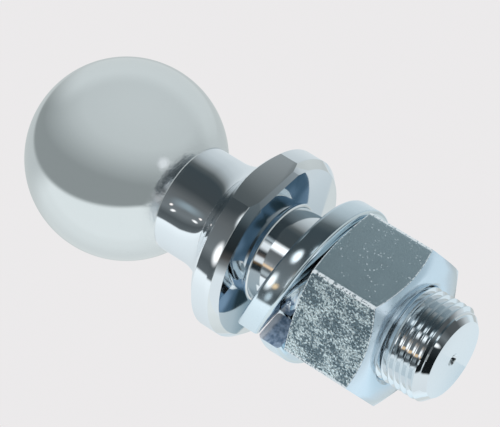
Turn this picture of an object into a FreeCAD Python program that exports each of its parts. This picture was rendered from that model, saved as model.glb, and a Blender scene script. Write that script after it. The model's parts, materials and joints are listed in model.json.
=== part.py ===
"""Threaded tow ball: a forged ball stud, a split spring washer and a hexagon nut.

Millimetres, +Z up along the stud's axis, ball on top, -Y towards one of the wrench flats. The
origin is the centre of the flange's bearing face, where the stud seats on the tow bar. Shank and
nut bore are plain: the shank has the thread's outer diameter, and the bore clears it.
"""
import FreeCAD, Part
import math
import os
import Sketcher

ORIGIN_POINT = (-1, 1)
SHEET = "Sizes"
WASHER_STEPS = 48
FIT_TOLERANCE = 1e-4
CUTTING_FEATURES = ("PartDesign::Pocket", "PartDesign::Groove", "PartDesign::Chamfer")

# Driving dimensions in millimetres and degrees, grouped by the piece that they belong to
SIZES = {
    # ball stud
    "ball_diameter": 50.8,
    "ball_centre_height": 48.4,
    "neck_diameter": 28.4,
    "flare_radius": 12.0,
    "flange_diameter": 48.95,
    "flange_rim_top": 6.95,
    "flange_bevel_top": 8.9,
    "flange_bevel_width": 2.275,
    "bearing_chamfer_width": 1.8,
    "bearing_chamfer_height": 1.9,
    "flats_depth": 1.725,
    "flats_bevel_width": 1.25,
    "flats_bevel_height": 1.0,
    "seat_fillet": 0.85,
    "thread_diameter": 25.4,
    "shank_length": 52.2,
    "thread_end_chamfer": 2.45,
    "centre_hole_diameter": 1.6,
    "centre_hole_depth": 3.2,
    "centre_countersink_diameter": 3.4,
    "centre_countersink_angle": 60.0,
    # spring washer
    "washer_bore_clearance": 0.3,
    "washer_bar_width": 8.03,
    "washer_thickness": 6.35,
    "washer_edge_radius": 1.0,
    "washer_cut_azimuth": 169.0,
    "washer_gap_angle": 6.0,
    "washer_lift_share": 0.694,
    "washer_lift_angle": 110.0,
    "washer_seat_clearance": 0.05,
    # hexagon nut
    "nut_across_flats": 38.1,
    "nut_height": 21.83,
    "thread_showing": 12.15,
    "nut_turn_angle": -2.6,
    "nut_face_inset": 1.35,
    "nut_end_chamfer_angle": 30.0,
    "nut_bearing_chamfer_angle": 15.0,
    "nut_bore_clearance": 0.05,
    "nut_countersink": 0.7,
}

# Dimensions that follow from others: the flats from the flange, the washer's bore from the thread,
# the nut's place from the shank's end, and the washer's spring from the room beside the nut
DERIVED = {
    "flange_bevel_diameter": "flange_diameter - 2 * flange_bevel_width",
    "flats_width": "flange_diameter - 2 * flats_depth",
    "washer_inner_diameter": "thread_diameter + 2 * washer_bore_clearance",
    "washer_outer_diameter": "washer_inner_diameter + 2 * washer_bar_width",
    "nut_face_diameter": "nut_across_flats - 2 * nut_face_inset",
    "nut_face_depth": "shank_length - thread_showing - nut_height",
    "washer_lift": "washer_lift_share * (nut_face_depth - washer_thickness - washer_seat_clearance)",
}


def make_sheet(doc):
    """Write every driving dimension into the sheet, one named cell per row."""
    sheet = doc.addObject("Spreadsheet::Sheet", SHEET)
    formulas = {name: f"={formula}" for name, formula in DERIVED.items()}
    for row, (name, value) in enumerate({**SIZES, **formulas}.items(), start=1):
        sheet.set(f"A{row}", name)
        sheet.set(f"B{row}", str(value))
        sheet.setAlias(f"B{row}", name)
    doc.recompute()
    return sheet


def point(radius, height):
    """A point of a turned profile: the distance from the axis, and the height."""
    return FreeCAD.Vector(radius, height, 0)


def make_body(doc, name):
    body = doc.addObject("PartDesign::Body", name)
    body.Label = name
    return body


def make_sketch(body, name, plane):
    """An empty sketch on one of the body's own origin planes."""
    sketch = body.newObject("Sketcher::SketchObject", name)
    support = [item for item in body.Origin.OriginFeatures if item.Role == plane][0]
    sketch.AttachmentSupport = [(support, "")]
    sketch.MapMode = "FlatFace"
    return sketch


def add_outline(sketch, corners):
    """A closed chain of straight lines through the corners, joined end to end."""
    count = len(corners)
    first = sketch.GeometryCount
    for index in range(count):
        line = Part.LineSegment(corners[index], corners[(index + 1) % count])
        sketch.addGeometry(line, False)
    for index in range(count):
        following = first + (index + 1) % count
        sketch.addConstraint(Sketcher.Constraint("Coincident", first + index, 2, following, 1))
    return first


def bind(sketch, kind, items, value, formula):
    """A dimension of the sketch, driven by a formula of the sheet's cells."""
    index = sketch.addConstraint(Sketcher.Constraint(kind, *items, value))
    sketch.setExpression(f"Constraints[{index}]", formula)
    return index


def keep_on_axis(sketch, line, end, upright=False):
    """Keep a line's end, or an arc's centre, on the sketch's level or upright axis."""
    axis = -2 if upright else -1
    sketch.addConstraint(Sketcher.Constraint("PointOnObject", line, end, axis))


def pin_point(sketch, item, radius, height, radius_formula=None, height_formula=None):
    """Fix a profile point's distance from the axis and its height above the seat."""
    if radius_formula:
        bind(sketch, "DistanceX", [*ORIGIN_POINT, *item], radius, radius_formula)
    if height_formula:
        bind(sketch, "DistanceY", [*ORIGIN_POINT, *item], height, height_formula)


def stud_profile(body, size):
    """Half the stud's turned outline, from the ball's pole down to the thread's end."""
    ball_radius = size.ball_diameter / 2
    neck_radius = size.neck_diameter / 2
    flange_radius = size.flange_diameter / 2
    bevel_radius = size.flange_bevel_diameter / 2
    shank_radius = size.thread_diameter / 2
    ball_centre = point(0, size.ball_centre_height)
    junction_drop = math.sqrt(ball_radius ** 2 - neck_radius ** 2)
    junction = point(neck_radius, size.ball_centre_height - junction_drop)
    flare_cosine = 1 - (bevel_radius - neck_radius) / size.flare_radius
    flare_angle = math.acos(flare_cosine)
    flare_start = size.flange_bevel_top + size.flare_radius * math.sin(flare_angle)
    face_radius = flange_radius - size.bearing_chamfer_width
    end_radius = shank_radius - size.thread_end_chamfer
    chamfer_start = size.thread_end_chamfer - size.shank_length

    pole = point(0, size.ball_centre_height + ball_radius)
    neck_foot = point(neck_radius, flare_start)
    bevel_top = point(bevel_radius, size.flange_bevel_top)
    rim_top = point(flange_radius, size.flange_rim_top)
    rim_foot = point(flange_radius, size.bearing_chamfer_height)
    face_edge = point(face_radius, 0)
    face_root = point(shank_radius + size.seat_fillet, 0)
    shank_root = point(shank_radius, -size.seat_fillet)
    shank_foot = point(shank_radius, chamfer_start)
    end_edge = point(end_radius, -size.shank_length)
    end_centre = point(0, -size.shank_length)

    sketch = make_sketch(body, "stud_profile", "XZ_Plane")
    up = FreeCAD.Vector(0, 0, 1)
    ball_circle = Part.Circle(ball_centre, up, ball_radius)
    junction_angle = math.atan2(-junction_drop, neck_radius)
    ball = sketch.addGeometry(Part.ArcOfCircle(ball_circle, junction_angle, math.pi / 2), False)
    neck = sketch.addGeometry(Part.LineSegment(junction, neck_foot), False)
    flare_circle = Part.Circle(point(neck_radius + size.flare_radius, flare_start), up, size.flare_radius)
    flare_arc = Part.ArcOfCircle(flare_circle, math.pi, math.pi + flare_angle)
    flare = sketch.addGeometry(flare_arc, False)
    bevel = sketch.addGeometry(Part.LineSegment(bevel_top, rim_top), False)
    rim = sketch.addGeometry(Part.LineSegment(rim_top, rim_foot), False)
    chamfer = sketch.addGeometry(Part.LineSegment(rim_foot, face_edge), False)
    face = sketch.addGeometry(Part.LineSegment(face_edge, face_root), False)
    fillet_circle = Part.Circle(point(face_root.x, -size.seat_fillet), up, size.seat_fillet)
    fillet = sketch.addGeometry(Part.ArcOfCircle(fillet_circle, math.pi / 2, math.pi), False)
    shank = sketch.addGeometry(Part.LineSegment(shank_root, shank_foot), False)
    lead = sketch.addGeometry(Part.LineSegment(shank_foot, end_edge), False)
    end = sketch.addGeometry(Part.LineSegment(end_edge, end_centre), False)
    axis = sketch.addGeometry(Part.LineSegment(end_centre, pole), False)

    # Joints of the chain: an arc's first point is its start, its second its end
    joints = [
        (ball, 1, neck, 1),
        (flare, 2, bevel, 1),
        (bevel, 2, rim, 1),
        (rim, 2, chamfer, 1),
        (chamfer, 2, face, 1),
        (shank, 2, lead, 1),
        (lead, 2, end, 1),
        (end, 2, axis, 1),
        (axis, 2, ball, 2),
    ]
    for joint in joints:
        sketch.addConstraint(Sketcher.Constraint("Coincident", *joint))
    tangents = [(neck, 2, flare, 1), (face, 2, fillet, 1), (fillet, 2, shank, 1)]
    for joint in tangents:
        sketch.addConstraint(Sketcher.Constraint("Tangent", *joint))
    for line in (neck, rim, shank, axis):
        sketch.addConstraint(Sketcher.Constraint("Vertical", line))
    for line in (face, end):
        sketch.addConstraint(Sketcher.Constraint("Horizontal", line))
    keep_on_axis(sketch, axis, 1, upright=True)
    keep_on_axis(sketch, ball, 3, upright=True)
    keep_on_axis(sketch, face, 1)

    cell = f"{SHEET}."
    bind(sketch, "Radius", [ball], ball_radius, f"{cell}ball_diameter / 2")
    pin_point(sketch, (ball, 3), 0, ball_centre.y, height_formula=f"{cell}ball_centre_height")
    pin_point(sketch, (neck, 1), neck_radius, 0, radius_formula=f"{cell}neck_diameter / 2")
    bind(sketch, "Radius", [flare], size.flare_radius, f"{cell}flare_radius")
    pin_point(sketch, (bevel, 1), bevel_radius, size.flange_bevel_top,
              f"{cell}flange_bevel_diameter / 2", f"{cell}flange_bevel_top")
    pin_point(sketch, (rim, 1), flange_radius, size.flange_rim_top,
              f"{cell}flange_diameter / 2", f"{cell}flange_rim_top")
    pin_point(sketch, (chamfer, 1), 0, rim_foot.y, height_formula=f"{cell}bearing_chamfer_height")
    pin_point(sketch, (face, 1), face_radius, 0,
              f"{cell}flange_diameter / 2 - {cell}bearing_chamfer_width")
    bind(sketch, "Radius", [fillet], size.seat_fillet, f"{cell}seat_fillet")
    pin_point(sketch, (shank, 1), shank_radius, 0, radius_formula=f"{cell}thread_diameter / 2")
    bind(sketch, "DistanceY", [end, 1, *ORIGIN_POINT], size.shank_length, f"{cell}shank_length")
    bind(sketch, "DistanceY", [lead, 2, lead, 1], size.thread_end_chamfer, f"{cell}thread_end_chamfer")
    pin_point(sketch, (lead, 2), end_radius, 0,
              f"{cell}thread_diameter / 2 - {cell}thread_end_chamfer")
    return sketch


def flats_profile(body, size):
    """What the milling takes off the flange: beyond each flat, and a bevel at its foot."""
    flat = size.flats_width / 2
    foot = flat - size.flats_bevel_width
    outside = size.flange_diameter
    top = size.flange_bevel_top + size.flats_bevel_height
    cell = f"{SHEET}."
    sketch = make_sketch(body, "flats_profile", "YZ_Plane")
    for side in (1, -1):
        corners = [
            point(side * foot, 0),
            point(side * flat, size.flats_bevel_height),
            point(side * flat, top),
            point(side * outside, top),
            point(side * outside, 0),
        ]
        first = add_outline(sketch, corners)
        for line in (first + 1, first + 3):
            sketch.addConstraint(Sketcher.Constraint("Vertical", line))
        sketch.addConstraint(Sketcher.Constraint("Horizontal", first + 2))
        keep_on_axis(sketch, first, 1)
        keep_on_axis(sketch, first + 4, 1)
        across = {
            first: (foot, f"{cell}flats_width / 2 - {cell}flats_bevel_width"),
            first + 1: (flat, f"{cell}flats_width / 2"),
            first + 3: (outside, f"{cell}flange_diameter"),
        }
        for line, (value, formula) in across.items():
            ends = [*ORIGIN_POINT, line, 1] if side > 0 else [line, 1, *ORIGIN_POINT]
            bind(sketch, "DistanceX", ends, value, formula)
        pin_point(sketch, (first + 1, 1), 0, size.flats_bevel_height,
                  height_formula=f"{cell}flats_bevel_height")
        pin_point(sketch, (first + 2, 1), 0, top,
                  height_formula=f"{cell}flange_bevel_top + {cell}flats_bevel_height")
    return sketch


def centre_hole_profile(body, size):
    """The centre drilling in the thread's end: a countersink, then a small pilot hole."""
    cell = f"{SHEET}."
    pilot = size.centre_hole_diameter / 2
    mouth = size.centre_countersink_diameter / 2
    slope = math.tan(math.radians(size.centre_countersink_angle / 2))
    floor = -size.shank_length
    cone_end = floor + (mouth - pilot) / slope
    hole_end = floor + size.centre_hole_depth
    corners = [
        point(0, floor),
        point(mouth, floor),
        point(pilot, cone_end),
        point(pilot, hole_end),
        point(0, hole_end),
    ]
    sketch = make_sketch(body, "centre_hole_profile", "XZ_Plane")
    first = add_outline(sketch, corners)
    for line in (first, first + 3):
        sketch.addConstraint(Sketcher.Constraint("Horizontal", line))
    for line in (first + 2, first + 4):
        sketch.addConstraint(Sketcher.Constraint("Vertical", line))
    keep_on_axis(sketch, first, 1, upright=True)
    bind(sketch, "DistanceY", [first, 1, *ORIGIN_POINT], size.shank_length, f"{cell}shank_length")
    pin_point(sketch, (first + 1, 1), mouth, 0, f"{cell}centre_countersink_diameter / 2")
    pin_point(sketch, (first + 2, 1), pilot, 0, f"{cell}centre_hole_diameter / 2")
    bind(sketch, "DistanceY", [first + 1, 1, first + 1, 2], cone_end - floor,
         f"({cell}centre_countersink_diameter - {cell}centre_hole_diameter) / 2"
         f" / tan({cell}centre_countersink_angle * 1 deg / 2)")
    bind(sketch, "DistanceY", [first, 1, first + 3, 1], size.centre_hole_depth,
         f"{cell}centre_hole_depth")
    return sketch


def turn_about_axis(body, kind, name, sketch):
    """A full turn of the sketch about the body's upright axis, added or cut away."""
    feature = body.newObject(kind, name)
    feature.Profile = sketch
    feature.ReferenceAxis = (sketch, ["V_Axis"])
    feature.Angle = 360
    return feature


def make_ball_stud(doc, size):
    """Ball, neck, flared flange and threaded shank: one forging, then turned and milled."""
    body = make_body(doc, "ball_stud")
    turn_about_axis(body, "PartDesign::Revolution", "turned_stud", stud_profile(body, size))
    doc.recompute()
    flats = body.newObject("PartDesign::Pocket", "wrench_flats")
    flats.Profile = flats_profile(body, size)
    flats.Midplane = True
    flats.Length = 2 * size.flange_diameter
    flats.setExpression("Length", f"2 * {SHEET}.flange_diameter")
    turn_about_axis(body, "PartDesign::Groove", "centre_hole", centre_hole_profile(body, size))
    doc.recompute()
    return body


def lift_at(size, turned):
    """How far the washer stands off the nut: the cut end springs up, the rest lies flat."""
    share = min(turned / size.washer_lift_angle, 1.0)
    return size.washer_lift * (1.0 - share) ** 2


def washer_path(size):
    """The middle line of the washer's bar, from the raised cut end round to the flat one."""
    middle = (size.washer_inner_diameter + size.washer_outer_diameter) / 4
    rest = size.washer_seat_clearance + size.washer_thickness / 2
    sweep = 360.0 - size.washer_gap_angle
    points = []
    for step in range(WASHER_STEPS + 1):
        turned = sweep * step / WASHER_STEPS
        azimuth = math.radians(size.washer_cut_azimuth + turned)
        height = rest + lift_at(size, turned)
        points.append(FreeCAD.Vector(middle * math.cos(azimuth), middle * math.sin(azimuth), height))
    curve = Part.BSplineCurve()
    curve.interpolate(points)
    return Part.Wire(curve.toShape())


def washer_section(size, centre):
    """The bar's square section with rounded edges, standing in the plane of the cut."""
    half_width = (size.washer_outer_diameter - size.washer_inner_diameter) / 4
    half_height = size.washer_thickness / 2
    edge = size.washer_edge_radius
    azimuth = math.radians(size.washer_cut_azimuth)
    outward = FreeCAD.Vector(math.cos(azimuth), math.sin(azimuth), 0)
    up = FreeCAD.Vector(0, 0, 1)

    def corner_point(side, level, angle):
        across = side * (half_width - edge) + edge * math.cos(angle)
        raised = level * (half_height - edge) + edge * math.sin(angle)
        return centre + outward * across + up * raised

    quarter = math.pi / 2
    corners = [(1, 1), (-1, 1), (-1, -1), (1, -1)]
    arcs = []
    for index, (side, level) in enumerate(corners):
        turns = [quarter * (index + share) for share in (0, 0.5, 1)]
        arcs.append(Part.Arc(*[corner_point(side, level, turn) for turn in turns]))
    edges = []
    for index, arc in enumerate(arcs):
        following = arcs[(index + 1) % len(arcs)]
        edges.append(arc.toShape())
        edges.append(Part.LineSegment(arc.EndPoint, following.StartPoint).toShape())
    return Part.Wire(edges)


def make_spring_washer(doc, size):
    """A split ring of square bar whose cut end springs towards the flange.

    Its foot lies at height 0 of its own frame, which is the nut's bearing face.
    """
    path = washer_path(size)
    section = washer_section(size, path.Vertexes[0].Point)
    pipe = Part.BRepOffsetAPI.MakePipeShell(path)
    pipe.setBiNormalMode(FreeCAD.Vector(0, 0, 1))
    pipe.add(section)
    pipe.build()
    pipe.makeSolid()
    washer = doc.addObject("Part::Feature", "spring_washer")
    washer.Label = "spring_washer"
    washer.Shape = pipe.shape()
    washer.Placement = FreeCAD.Placement(FreeCAD.Vector(0, 0, 0), FreeCAD.Rotation())
    washer.setExpression("Placement.Base.z", f"-{SHEET}.nut_face_depth")
    return washer


def hexagon_sketch(body, size):
    """The nut's hexagon, one corner on the X axis."""
    sketch = make_sketch(body, "hexagon", "XY_Plane")
    corner_radius = size.nut_across_flats / 2 / math.cos(math.radians(30))
    corners = []
    for index in range(6):
        azimuth = math.radians(60 * index)
        corners.append(point(corner_radius * math.cos(azimuth), corner_radius * math.sin(azimuth)))
    first = add_outline(sketch, corners)
    circle = Part.Circle(point(0, 0), FreeCAD.Vector(0, 0, 1), corner_radius)
    ring = sketch.addGeometry(circle, True)
    sketch.addConstraint(Sketcher.Constraint("Coincident", ring, 3, *ORIGIN_POINT))
    for side in range(6):
        sketch.addConstraint(Sketcher.Constraint("PointOnObject", first + side, 1, ring))
    for side in range(1, 6):
        sketch.addConstraint(Sketcher.Constraint("Equal", first, first + side))
    keep_on_axis(sketch, first, 1)
    bind(sketch, "Radius", [ring], corner_radius, f"{SHEET}.nut_across_flats / 2 / cos(30 deg)")
    return sketch


def nut_chamfer_sketch(body, size):
    """The corners turned off at both ends: a cone from each face's circle outwards."""
    cell = f"{SHEET}."
    sketch = make_sketch(body, "chamfer_cones", "XZ_Plane")
    face = size.nut_face_diameter / 2
    outside = size.nut_across_flats
    ends = [
        ("bearing", 0.0, -1, size.nut_bearing_chamfer_angle),
        ("end", -size.nut_height, 1, size.nut_end_chamfer_angle),
    ]
    for name, level, inward, angle in ends:
        drop = (outside - face) * math.tan(math.radians(angle))
        corners = [point(face, level), point(outside, level), point(outside, level + inward * drop)]
        first = add_outline(sketch, corners)
        sketch.addConstraint(Sketcher.Constraint("Horizontal", first))
        sketch.addConstraint(Sketcher.Constraint("Vertical", first + 1))
        if name == "bearing":
            keep_on_axis(sketch, first, 1)
        else:
            bind(sketch, "DistanceY", [first, 1, *ORIGIN_POINT], size.nut_height, f"{cell}nut_height")
        pin_point(sketch, (first, 1), face, 0, f"{cell}nut_face_diameter / 2")
        pin_point(sketch, (first + 1, 1), outside, 0, f"{cell}nut_across_flats")
        upper, lower = (1, 2) if inward < 0 else (2, 1)
        bind(sketch, "DistanceY", [first + 1, lower, first + 1, upper], drop,
             f"({cell}nut_across_flats - {cell}nut_face_diameter / 2)"
             f" * tan({cell}nut_{name}_chamfer_angle * 1 deg)")
    return sketch


def bore_sketch(body, size):
    sketch = make_sketch(body, "bore_circle", "XY_Plane")
    radius = size.thread_diameter / 2 + size.nut_bore_clearance
    circle = Part.Circle(point(0, 0), FreeCAD.Vector(0, 0, 1), radius)
    ring = sketch.addGeometry(circle, False)
    sketch.addConstraint(Sketcher.Constraint("Coincident", ring, 3, *ORIGIN_POINT))
    bind(sketch, "Radius", [ring], radius,
         f"{SHEET}.thread_diameter / 2 + {SHEET}.nut_bore_clearance")
    return sketch


def bore_rims(shape, radius):
    """Names of the bore's two circular rims."""
    names = []
    for index, edge in enumerate(shape.Edges, start=1):
        if isinstance(edge.Curve, Part.Circle) and abs(edge.Curve.Radius - radius) < FIT_TOLERANCE:
            names.append(f"Edge{index}")
    return names


def make_hex_nut(doc, size):
    """The nut, with its bearing face at height 0 of its own frame and its bulk below."""
    body = make_body(doc, "hex_nut")
    block = body.newObject("PartDesign::Pad", "hexagon_bar")
    block.Profile = hexagon_sketch(body, size)
    block.Reversed = True
    block.Length = size.nut_height
    block.setExpression("Length", f"{SHEET}.nut_height")
    doc.recompute()
    turn_about_axis(body, "PartDesign::Groove", "turned_corners", nut_chamfer_sketch(body, size))
    bore = body.newObject("PartDesign::Pocket", "bore")
    bore.Profile = bore_sketch(body, size)
    bore.Reversed = False
    bore.Type = "Length"
    bore.Length = size.nut_height
    bore.setExpression("Length", f"{SHEET}.nut_height")
    doc.recompute()
    mouths = body.newObject("PartDesign::Chamfer", "countersinks")
    radius = size.thread_diameter / 2 + size.nut_bore_clearance
    mouths.Base = (bore, bore_rims(bore.Shape, radius))
    mouths.Size = size.nut_countersink
    mouths.setExpression("Size", f"{SHEET}.nut_countersink")
    body.Placement = FreeCAD.Placement(FreeCAD.Vector(0, 0, 0),
                                       FreeCAD.Rotation(FreeCAD.Vector(0, 0, 1), size.nut_turn_angle))
    body.setExpression("Placement.Base.z", f"-{SHEET}.nut_face_depth")
    body.setExpression("Placement.Rotation.Angle", f"{SHEET}.nut_turn_angle * 1 deg")
    doc.recompute()
    return body


class Sizes:
    """The sheet's values, read by name."""

    def __init__(self, sheet):
        self.sheet = sheet

    def __getattr__(self, name):
        return float(self.sheet.get(name))


def check(doc, pieces):
    """Stop if anything failed, or if a piece isn't one valid solid of its expected kind."""
    for item in doc.Objects:
        if {"Invalid", "Error"} & set(item.State):
            raise RuntimeError(f"{item.Label} failed: {item.State}")
        if item.TypeId in CUTTING_FEATURES and item.Shape.Volume >= item.BaseFeature.Shape.Volume:
            raise RuntimeError(f"{item.Label} takes nothing off")
    for piece in pieces:
        shape = piece.Shape
        if shape.isNull() or not shape.isValid() or len(shape.Solids) != 1:
            raise RuntimeError(f"{piece.Label} is not one valid solid")
        print(piece.Label, "volume", round(shape.Volume, 1), "box", shape.BoundBox)


def main():
    doc = FreeCAD.newDocument("tow_ball")
    size = Sizes(make_sheet(doc))
    pieces = [make_ball_stud(doc, size), make_spring_washer(doc, size), make_hex_nut(doc, size)]
    doc.recompute()
    check(doc, pieces)
    os.makedirs("parts", exist_ok=True)
    for piece in pieces:
        piece.Shape.exportStep(f"parts/{piece.Label}.step")


main()
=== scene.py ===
"""Threaded tow ball: chrome ball stud, zinc spring washer and zinc hexagon nut.

Each piece is turned, milled or coiled around the stud's upright axis, ball on top. The origin is the
centre of the flange's bearing face. Lengths are in metres.
"""

import json
import math

import bmesh
import bpy
from bpy.props import FloatProperty, FloatVectorProperty, IntProperty, PointerProperty
from mathutils import Matrix, Vector

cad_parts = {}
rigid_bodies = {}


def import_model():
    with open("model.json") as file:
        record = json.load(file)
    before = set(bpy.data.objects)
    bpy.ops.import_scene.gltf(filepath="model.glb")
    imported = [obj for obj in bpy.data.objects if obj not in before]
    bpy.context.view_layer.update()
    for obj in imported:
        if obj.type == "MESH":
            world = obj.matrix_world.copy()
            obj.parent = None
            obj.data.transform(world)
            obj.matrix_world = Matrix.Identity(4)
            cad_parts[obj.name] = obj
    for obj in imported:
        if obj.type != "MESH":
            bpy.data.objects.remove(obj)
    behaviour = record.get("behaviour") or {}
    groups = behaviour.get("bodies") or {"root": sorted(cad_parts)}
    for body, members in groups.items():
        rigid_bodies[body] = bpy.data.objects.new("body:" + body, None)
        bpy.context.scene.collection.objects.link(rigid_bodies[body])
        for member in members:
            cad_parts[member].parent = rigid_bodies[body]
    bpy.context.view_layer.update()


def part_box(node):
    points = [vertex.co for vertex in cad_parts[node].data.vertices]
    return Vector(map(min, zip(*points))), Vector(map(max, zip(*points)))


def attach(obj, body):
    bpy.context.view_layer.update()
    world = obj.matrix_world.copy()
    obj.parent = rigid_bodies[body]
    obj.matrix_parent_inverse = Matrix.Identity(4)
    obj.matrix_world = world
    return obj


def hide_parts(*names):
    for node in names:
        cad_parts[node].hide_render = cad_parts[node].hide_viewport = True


bl_info = {
    "name": "Threaded Tow Ball",
    "version": (1, 0, 0),
    "blender": (4, 5, 0),
    "location": "View3D > Sidebar > Tow Ball",
    "description": "Builds a chrome tow ball with its spring washer and nut, and a pale studio round it",
    "category": "Add Mesh",
}

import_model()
STUD_LOW, STUD_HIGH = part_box("ball_stud")
NUT_LOW, NUT_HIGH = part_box("hex_nut")
MM = 0.001

# How far the nut slides for each radian that it turns, which gives the thread's pitch
SLIDE_PER_RADIAN = 0.0002887525
PITCH = 2 * math.pi * SLIDE_PER_RADIAN

# The thread's sides stand at 60 degrees, with the crest and the root flat over twice these shares
# of a pitch
HALF_60 = math.radians(30)
CREST_HALF = 1 / 16
ROOT_HALF = 1 / 8

# Two heights or radii this close are the same, and corners this close are joined
SAME = 1e-6
JOIN = 0.002 * MM
SELECT_MODES = {"verts": "VERT", "edges": "EDGE", "faces": "FACE"}

# A narrow flat beside a sharp edge keeps the shading of the face behind it level
LAND = 0.1 * MM

# Steps round the washer, and rings of the nut's bore in each pitch
WASHER_STEPS = 236
THREAD_RINGS = 14

# The washer's sheared ends: how deep their finish reaches, how rough it is, its blues, and the
# heights between which a painted highlight comes in towards their top
SHEARED_REACH = 0.16 * MM
SHEARED_ROUGHNESS = 0.36
SHEARED_BLUES = ((0.19, 0.29, 0.44), (0.52, 0.66, 0.84))
SHEARED_HIGHLIGHT_FADE = (-11.9 * MM, -10.5 * MM)
SHEARED_HIGHLIGHT = (0.93, 0.95, 1.0)

# The nut's coarse flat, its shades, and how far the painted highlight lines reach from an edge, fading out
COARSE_FLAT = math.radians(-150)
FLAT_ZINC = (0.66, 0.80, 0.86)
DARK_CRYSTAL = (0.20, 0.27, 0.31)
BRIGHT_CRYSTAL = (0.84, 0.95, 0.97)
SHEEN_AND_SPECK_WHITE = (0.80, 0.90, 0.94)
ARC_FADE = (0.34 * MM, 0.12 * MM)
RIDGE_FADE = (0.36 * MM, 0.20 * MM)

# The heights between which the rough hollow under the ball fades out
HOLLOW_TOP = (31.0 * MM, 28.5 * MM)
HOLLOW_FOOT = (25.5 * MM, 27.0 * MM)

# How nodes are set out in the editor
NODES_PER_ROW = 8
NODE_SPACING = 220


def length(name, millimetres, description):
    """A length that shows in the panel in the scene's own unit."""
    return FloatProperty(name=name, description=description, default=millimetres * MM,
                         precision=5, unit="LENGTH", subtype="DISTANCE")


def angle(name, degrees, description):
    return FloatProperty(name=name, description=description, default=math.radians(degrees),
                         unit="ROTATION", subtype="ANGLE")


def factor(name, value, description):
    return FloatProperty(name=name, description=description, default=value, min=0.0, max=1.0,
                         subtype="FACTOR")


def colour(name, value, description):
    return FloatVectorProperty(name=name, description=description, default=value, size=3,
                               min=0.0, max=1.0, subtype="COLOR")


class TowBallStudSizes(bpy.types.PropertyGroup):
    """Sizes of the ball stud."""

    ball_diameter: length("Ball", 50.8, "Diameter of the ball")
    neck_diameter: length("Neck", 28.4, "Diameter of the neck under the ball")
    flare_radius: length("Flare radius", 12.0, "Radius of the hollow from neck to flange")
    flange_diameter: length("Flange", 48.95, "Diameter of the flange")
    rim_top: length("Rim top", 6.95, "Height of the flange's upright rim over the bearing face")
    bevel_top: length("Bevel top", 8.9, "Height where the flange's upper bevel meets the flare")
    bevel_width: length("Bevel width", 2.275, "Width of the flange's upper bevel")
    foot_width: length("Foot chamfer width", 1.8, "Width of the chamfer round the bearing face")
    foot_height: length("Foot chamfer height", 1.9, "Height of the chamfer round the bearing face")
    flats_depth: length("Flats depth", 1.725, "How deep each wrench flat is milled into the flange")
    flats_bevel_width: length("Flat bevel width", 1.25, "Width of the bevel at a flat's foot")
    flats_bevel_height: length("Flat bevel height", 1.0, "Height of the bevel at a flat's foot")
    seat_fillet: length("Seat fillet", 0.85, "Radius between the bearing face and the shank")
    shank_diameter: length("Shank", 25.4, "Diameter of the shank and of its thread")
    end_chamfer: length("End chamfer", 2.45, "Chamfer at the thread's end")
    thread_length: length("Thread length", 37.5, "Threaded length, from the shank's end")
    hole_diameter: length("Centre hole", 1.6, "Diameter of the centre drilling in the end")
    hole_depth: length("Centre hole depth", 3.2, "Depth of the centre drilling in the end")
    mouth_diameter: length("Centre hole mouth", 3.4, "Diameter of the centre drilling's countersink")
    edge_radius: length("Edge rounding", 0.22, "Rounding of the turned and milled edges")
    segments: IntProperty(name="Segments", description="Steps round the turned surfaces",
                          default=192, min=48, max=256)


class TowBallWasherSizes(bpy.types.PropertyGroup):
    """Sizes of the spring washer."""

    bore_clearance: length("Bore clearance", 0.3, "Room between the thread and the washer's bore")
    bar_width: length("Bar width", 8.03, "Width of the bar that the washer is coiled from")
    bar_thickness: length("Bar thickness", 6.35, "Thickness of the bar")
    edge_radius: length("Edge radius", 1.0, "Rounding of the bar's four edges")
    lift: length("Spring", 7.95, "How far the cut end springs up off the nut")
    lift_angle: angle("Spring angle", 110.0, "How far round the spring reaches")
    cut_azimuth: angle("Cut", 169.0, "Where the washer is cut, anticlockwise from +X")
    gap_angle: angle("Gap", 0.8, "Width of the cut")
    heel_lift: length("Heel lift", 1.5, "How far the lower cut end rises off the nut")
    heel_angle: angle("Heel angle", 70.0, "How far round that rise reaches")
    seat_clearance: length("Seat clearance", 0.05, "Room between the washer and the nut")


class TowBallNutSizes(bpy.types.PropertyGroup):
    """Sizes of the hexagon nut."""

    across_flats: length("Across flats", 38.1, "Width across the nut's flats")
    face_inset: length("Face inset", 1.35, "How far inside the flats the end faces stop")
    end_angle: angle("End chamfer", 30.0, "Slope of the chamfer at the thread's end")
    bearing_angle: angle("Bearing chamfer", 15.0, "Slope of the chamfer at the washer's side")
    turn: angle("Turn", -2.6, "How far the nut is turned")
    corner_radius: length("Corner rounding", 0.5, "Rounding of the nut's upright corners")
    countersink: length("Countersink", 0.9, "Countersink of the threaded hole")
    thread_clearance: length("Thread clearance", 0.09, "Room between the two threads")
    side_steps: IntProperty(name="Side steps", description="Steps along each flat", default=20, min=6)
    corner_steps: IntProperty(name="Corner steps", description="Steps round each corner",
                              default=4, min=2)


class TowBallFinish(bpy.types.PropertyGroup):
    """Colours of the plating."""

    chrome: colour("Chrome", (0.80, 0.83, 0.85), "Colour of the polished chrome")
    washer_zinc: colour("Washer zinc", (0.72, 0.81, 0.86), "Colour of the washer's zinc plate")
    nut_zinc: colour("Nut zinc", (0.67, 0.76, 0.83), "Colour of the nut's zinc plate")
    grain_depth: factor("Grain depth", 0.8, "Strength of the coarse grain on the nut's rough flat")


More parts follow.
